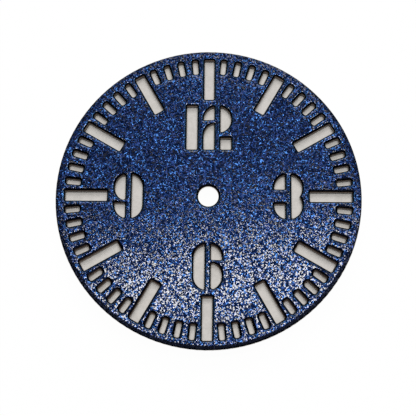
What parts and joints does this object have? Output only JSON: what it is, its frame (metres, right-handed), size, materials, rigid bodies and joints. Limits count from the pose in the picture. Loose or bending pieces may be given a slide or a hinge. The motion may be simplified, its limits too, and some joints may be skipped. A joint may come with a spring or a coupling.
{
  "type": "watch dial",
  "caption": "Round two-layer watch dial: blue upper plate cut through for bars, slots and stencil numerals over a pale luminous layer, with a centre hole and dial feet.",
  "frame": {"origin": "lower plate's centre hole axis, on the back face of the lower plate", "axes": "+Z out of the face towards the wearer, +Y to twelve o'clock, +X to three o'clock"},
  "size_m": [0.0285, 0.0284, 0.0028],
  "materials": {
    "lower_brass": "lapped, satin",
    "luminous": "matt, fine grained",
    "film": "matt",
    "upper_brass": "cut edge, darkened",
    "blue_coat": "blue, frosted sparkling grain under clear lacquer",
    "foot_copper": "drawn copper",
    "solder": "dull solder"
  },
  "bodies": {
    "root": {"lower_plate": "lower_brass", "luminous_layer": "luminous", "bonding_film": "film", "upper_plate": "upper_brass", "blue_coat": "blue_coat", "dial_foot_lower_right": "foot_copper", "dial_foot_upper_left": "foot_copper", "solder_lower_right": "solder", "solder_upper_left": "solder"}
  },
  "joints": []
}
